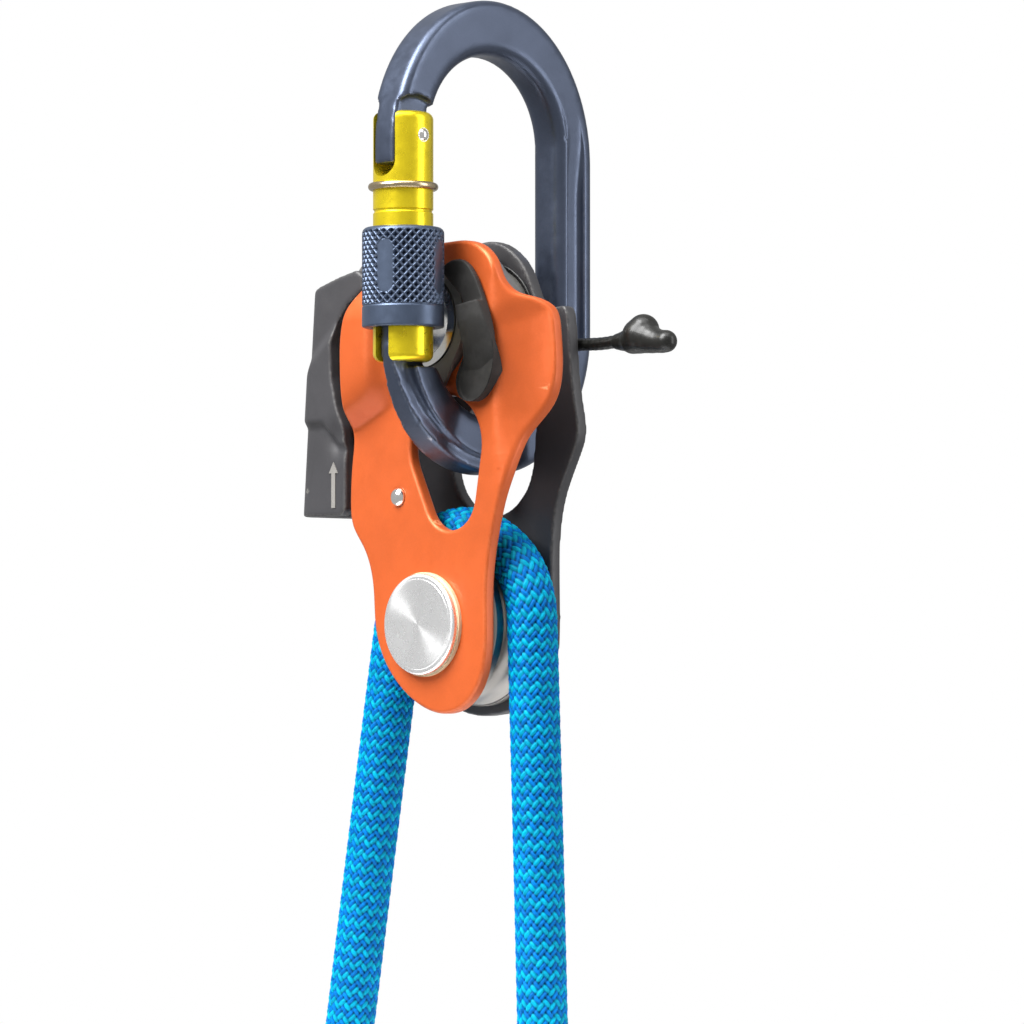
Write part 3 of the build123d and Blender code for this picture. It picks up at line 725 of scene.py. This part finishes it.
# ---- lock sleeve ----------------------------------------------------------------------------------
def make_sleeve():
    """Threaded locking sleeve: a cross-cut knurl with race-track flats and a plain lower band."""
    low, high = (c / MM for c in (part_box("lock_sleeve")[0].z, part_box("lock_sleeve")[1].z))
    radius = (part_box("lock_sleeve")[1].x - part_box("lock_sleeve")[0].x) / 2 / MM
    wall = 2.1
    bore = radius - wall
    cuts = 30             # knurl diamonds round the sleeve
    pitch_z = 1.88        # height of one diamond
    depth = 0.75
    knurl_top, knurl_low = high - 0.7, low + 4.7
    flat_half, flat_long, flat_depth = 1.95, 3.7, 0.12
    first_flat = 20       # degrees round from the front
    shoulder, low_edge, chamfer = 1.3, 0.5, 0.4
    groove, groove_wide = 0.18, 0.16
    around, up = 480, 230
    angles = np.arange(around) * 2 * math.pi / around
    heights = np.linspace(high, low, up)
    angle, z = np.meshgrid(angles, heights)
    a = angle * cuts / (2 * math.pi) + (z - low) / pitch_z
    b = angle * cuts / (2 * math.pi) - (z - low) / pitch_z
    ridge = np.maximum(np.abs(2 * np.mod(a, 1) - 1), np.abs(2 * np.mod(b, 1) - 1))
    pit = depth * (1 - np.minimum(1.0, (ridge - 0.1) / 0.72))
    inside = smooth_step((knurl_top - z) / 0.5) * smooth_step((z - knurl_low) / 0.3)
    race = np.full_like(z, radius)
    for quarter in range(4):
        centre = math.radians(first_flat + 90 * quarter) - math.pi / 2
        across = radius * (np.mod(angle - centre + math.pi, 2 * math.pi) - math.pi)
        along = np.maximum(0.0, np.abs(z - (knurl_top + knurl_low) / 2) - flat_long)
        race = np.minimum(race, np.hypot(across, along))
    flat = smooth_step((flat_half + 0.15 - race) / 0.3)
    r = radius - pit * inside * (1 - flat) - flat_depth * flat
    r -= shoulder - np.sqrt(np.maximum(0, shoulder**2 - np.maximum(0, z - high + shoulder) ** 2))
    r -= low_edge - np.sqrt(np.maximum(0, low_edge**2 - np.maximum(0, low + low_edge - z) ** 2))
    r -= groove * np.exp(-(((z - knurl_low + 0.15) / groove_wide) ** 2))
    rings = [(r, z)]
    for inner_r, inner_z in ((bore + chamfer, low), (bore, low + chamfer),
                             (bore, high - chamfer), (bore + chamfer, high)):
        rings.append((np.full((1, around), inner_r), np.full((1, around), inner_z)))
    r = np.vstack([ring[0] for ring in rings])
    z = np.vstack([ring[1] for ring in rings])
    angle = np.broadcast_to(angles, r.shape)
    points = np.stack([r * np.cos(angle), GATE_Y + r * np.sin(angle), z], axis=-1)
    faces = tube_faces(len(r), around)
    piece("knurled_sleeve", outward(mesh_of(points.reshape(-1, 3), faces)), SLATE_KNURL, "sleeve",
          ["lock_sleeve"], sharp=40)


make_sleeve()


# ---- turned pieces --------------------------------------------------------------------------------
def lathe(profile, centre, around=160):
    """A ring or disc about an axis along Y through centre (x, z), from a closed profile of (radius, y)."""
    angles = np.arange(around) * 2 * math.pi / around
    rows = []
    for radius, y in profile:
        rows.append(np.stack([centre[0] + radius * np.cos(angles), np.full(around, y),
                              centre[1] + radius * np.sin(angles)], axis=-1))
    return outward(mesh_of(np.concatenate(rows), tube_faces(len(profile), around)))


def arc(centre_r, centre_y, radius, start, end, steps=6):
    """Points (radius, y) of a rounded corner; angles in degrees from the outward radius towards -Y."""
    return [(centre_r + radius * math.cos(math.radians(t)), centre_y - radius * math.sin(math.radians(t)))
            for t in np.linspace(start, end, steps)]


AXIS_R = 0.02
HEAD_R = 10.7
HEAD_FACE = -13.5
HEAD_BACK = -11.8
HEAD_ROUND = 0.75
SHAFT_R = 4.98
SHAFT_END = 10.9
head_profile = ([(AXIS_R, HEAD_FACE + 0.12), (3.0, HEAD_FACE + 0.1), (8.9, HEAD_FACE + 0.02),
                 (9.25, HEAD_FACE), (9.5, HEAD_FACE + 0.03), (9.6, HEAD_FACE + 0.14)]
                + arc(HEAD_R - HEAD_ROUND, HEAD_FACE + 0.9, HEAD_ROUND, 82, 0)
                + [(HEAD_R, HEAD_BACK - 0.1), (HEAD_R - 0.1, HEAD_BACK), (SHAFT_R, HEAD_BACK),
                   (SHAFT_R, SHAFT_END), (AXIS_R, SHAFT_END)])
piece("turned_axle", lathe(head_profile, (AXLE_X, AXLE_Z)), TURNED, "device", ["axle"],
      sharp=28)


PIN_X, PIN_Z = -14.5, -93.5
PIN_AXIS_R = 0.01
pin_profile = [(PIN_AXIS_R, -12.3), (0.7, -12.22), (1.35, -11.98), (1.8, -11.6), (2.0, -11.2), (2.0, -11.0),
               (1.6, -10.9), (1.6, -5.0), (PIN_AXIS_R, -5.0)]
piece("domed_stop_pin", lathe(pin_profile, (PIN_X, PIN_Z), 64), POLISHED, "device",
      ["stop_pin"], sharp=50)


# ---- printed arrow --------------------------------------------------------------------------------
def flat_mark(name, outline, y, thick=0.12):
    """A thin printed shape on a face towards -Y, from its outline (x, z)."""
    count = len(outline)
    points = [(x, y - thick, z) for x, z in outline] + [(x, y + thick, z) for x, z in outline]
    faces = [tuple(range(count)), tuple(range(2 * count - 1, count - 1, -1))]
    faces += [(k, (k + 1) % count, count + (k + 1) % count, count + k) for k in range(count)]
    return piece(name, outward(mesh_of(points, faces)), PRINT, "device", sharp=30)


LIP_FACE = -11.05
ARROW_X, ARROW_TOP, ARROW_LOW = -34.8, -85.4, -95.3
SHAFT_HALF, HEAD_HALF = 0.6, 1.4
ARROW_NECK = ARROW_TOP - 2.4
flat_mark("lip_arrow_mark", [
    (ARROW_X - SHAFT_HALF, ARROW_LOW), (ARROW_X - SHAFT_HALF, ARROW_NECK), (ARROW_X - HEAD_HALF, ARROW_NECK),
    (ARROW_X, ARROW_TOP), (ARROW_X + HEAD_HALF, ARROW_NECK), (ARROW_X + SHAFT_HALF, ARROW_NECK),
    (ARROW_X + SHAFT_HALF, ARROW_LOW),
], LIP_FACE)


# ---- lever, knot and release cord -----------------------------------------------------------------
def make_lever():
    """Black lever, whose thumb blade falls away below its ridge and towards its right side."""
    blade_face, ridge_z, right_x = -13.2, -56.5, 11.0
    fall_low, fall_right = 5.4, 1.2
    mesh = remeshed("cam_lever", 0.26, 10)
    points = points_of(mesh)
    x, y, z = points.T.copy()
    raised = smooth_step((blade_face - y) / 2.0)
    points[:, 1] += raised * (fall_low * smooth_step((ridge_z - z) / 17.0)
                              + fall_right * smooth_step((x - right_x) / 6.0))
    piece("moulded_lever", move_points(mesh, points), BLACK, "cam_and_lever", ["cam_lever"])


make_lever()

KNOT_BALLS = [
    (27.2, 13.3, -61.3, 1.8), (28.6, 13.3, -61.3, 2.1), (30.2, 13.3, -61.2, 2.5), (31.8, 13.1, -61.2, 3.0),
    (33.4, 13.3, -60.4, 3.8), (34.2, 13.6, -59.2, 3.4), (35.4, 13.3, -60.9, 3.3), (37.0, 13.3, -61.4, 2.9),
    (38.4, 13.2, -61.7, 2.6), (39.8, 13.3, -61.9, 2.5), (41.0, 13.3, -61.9, 2.4),
]
knot = piece("dipped_knot", blob(KNOT_BALLS, 0.2, 40), DIPPED, "release_pull", ["cord_knot"])

CORD_D = 2.8
CORD_ROUTE = [
    (8.9, 6.9, -61.4), (9.3, 13.0, -61.4), (16.0, 13.7, -61.3), (23.0, 13.2, -61.6), (29.5, 13.3, -60.9),
    (33.0, 13.3, -60.8), (38.0, 13.3, -61.3), (41.6, 13.3, -61.8),
]


def make_release_cord():
    """Short stiff pull cord, through its dipped knot to the tail."""
    centre, length = evenly(route_line("cord_route", CORD_ROUTE), 0.25)
    tangent = unit(np.gradient(centre, axis=0))
    around = 40
    turn = np.arange(around) * 2 * math.pi / around
    up = np.array([0.0, 0.0, 1.0])
    side = unit(np.cross(tangent, up))
    other = np.cross(tangent, side)
    steps = np.arange(len(centre))[:, None]
    relief, lay = 0.05, 0.45
    plait = relief * np.cos(5 * turn + lay * steps) * np.cos(5 * turn - lay * steps)
    radius = CORD_D / 2 - relief + plait
    # the last rings close over the cord's tip
    tip = 6
    radius[-tip:] *= np.sqrt(np.linspace(1.0, 0.02, tip))[:, None]
    points = (centre[:, None] + (radius * np.cos(turn))[..., None] * side[:, None]
              + (radius * np.sin(turn))[..., None] * other[:, None])
    faces = tube_faces(len(centre), around, closed=False)
    last = len(centre) * around
    faces += [tuple(range(around)), tuple(range(last - 1, last - around - 1, -1))]
    cord = piece("release_cord_sheath", outward(mesh_of(points.reshape(-1, 3), faces)), DIPPED,
                 "release_pull", ["release_cord"])


make_release_cord()


# ---- camera, lights and floor ---------------------------------------------------------------------
AIM = Vector((7.4, 1.4, -96.9))
AZIMUTH, ELEVATION = 45.5, -2.0
DISTANCE = 1000.0
LENS = 166.64


def direction(azimuth, elevation):
    """Unit vector from the object towards an azimuth and an elevation in degrees."""
    a, e = math.radians(azimuth), math.radians(elevation)
    return Vector((math.sin(a) * math.cos(e), -math.cos(a) * math.cos(e), math.sin(e)))


camera_data = bpy.data.cameras.new("camera")
camera_data.lens = LENS
camera_data.clip_start = 0.05
camera_data.clip_end = 50.0
camera = link(bpy.data.objects.new("camera", camera_data))
camera.location = (AIM + direction(AZIMUTH, ELEVATION) * DISTANCE) * MM
camera.rotation_euler = (-direction(AZIMUTH, ELEVATION)).to_track_quat("-Z", "Y").to_euler()
bpy.context.scene.camera = camera


def soft_light(name, azimuth, elevation, distance, size, power):
    """A soft box that faces the object: distance and size in metres, power in watts."""
    data = bpy.data.lights.new(name, "AREA")
    data.shape = "RECTANGLE"
    data.size, data.size_y = size
    data.energy = power
    lamp = link(bpy.data.objects.new(name, data))
    aim = AIM * MM
    lamp.location = aim + direction(azimuth, elevation) * distance
    lamp.rotation_euler = (aim - lamp.location).to_track_quat("-Z", "Y").to_euler()


soft_light("left_box", AZIMUTH - 55, 48, 1.2, (0.7, 0.9), 36)
soft_light("right_box", AZIMUTH + 74, 12, 1.2, (0.4, 1.4), 8)
soft_light("top_box", AZIMUTH - 10, 72, 1.1, (1.0, 0.8), 9)

# the world is white to the camera, dim as ambient light, and a little brighter in reflections
AMBIENT, BACKDROP, GLOSS_EXTRA = 0.20, 1.0, 0.24
world = bpy.data.worlds.new("studio")
world.use_nodes = True
bpy.context.scene.world = world
backdrop = world.node_tree.nodes["Background"]
backdrop.inputs["Color"].default_value = (1, 1, 1, 1)
rays = world.node_tree.nodes.new("ShaderNodeLightPath")
level = world.node_tree.nodes.new("ShaderNodeMapRange")
level.inputs["To Min"].default_value = AMBIENT
level.inputs["To Max"].default_value = BACKDROP
world.node_tree.links.new(rays.outputs["Is Camera Ray"], level.inputs["Value"])
glint = world.node_tree.nodes.new("ShaderNodeMath")
glint.operation = "MULTIPLY_ADD"
glint.inputs[1].default_value = GLOSS_EXTRA
world.node_tree.links.new(rays.outputs["Is Glossy Ray"], glint.inputs[0])
world.node_tree.links.new(level.outputs["Result"], glint.inputs[2])
world.node_tree.links.new(glint.outputs[0], backdrop.inputs["Strength"])

FLOOR_GAP = 12.0
FLOOR_RADIUS = 140.0
FLOOR_SIDES = 96
floor_z = CAD_BOX[0][2] / MM - FLOOR_GAP
rim = [(FLOOR_RADIUS * math.cos(t), FLOOR_RADIUS * math.sin(t), floor_z)
       for t in np.arange(FLOOR_SIDES) * 2 * math.pi / FLOOR_SIDES]
floor_mesh = mesh_of(rim, [tuple(range(FLOOR_SIDES))])
paper = Nodes("paper_floor")
paper.join(paper.mix(paper.noise(60.0, 2.0), (0.90, 0.90, 0.90), (0.94, 0.94, 0.94)),
           paper.shader.inputs["Base Color"])
paper.set(Roughness=0.9, Specular_IOR_Level=0.1)
floor_mesh.materials.append(paper.material)
link(bpy.data.objects.new("floor", floor_mesh))

view = bpy.context.scene.view_settings
view.view_transform = "Standard"
view.look = "None"
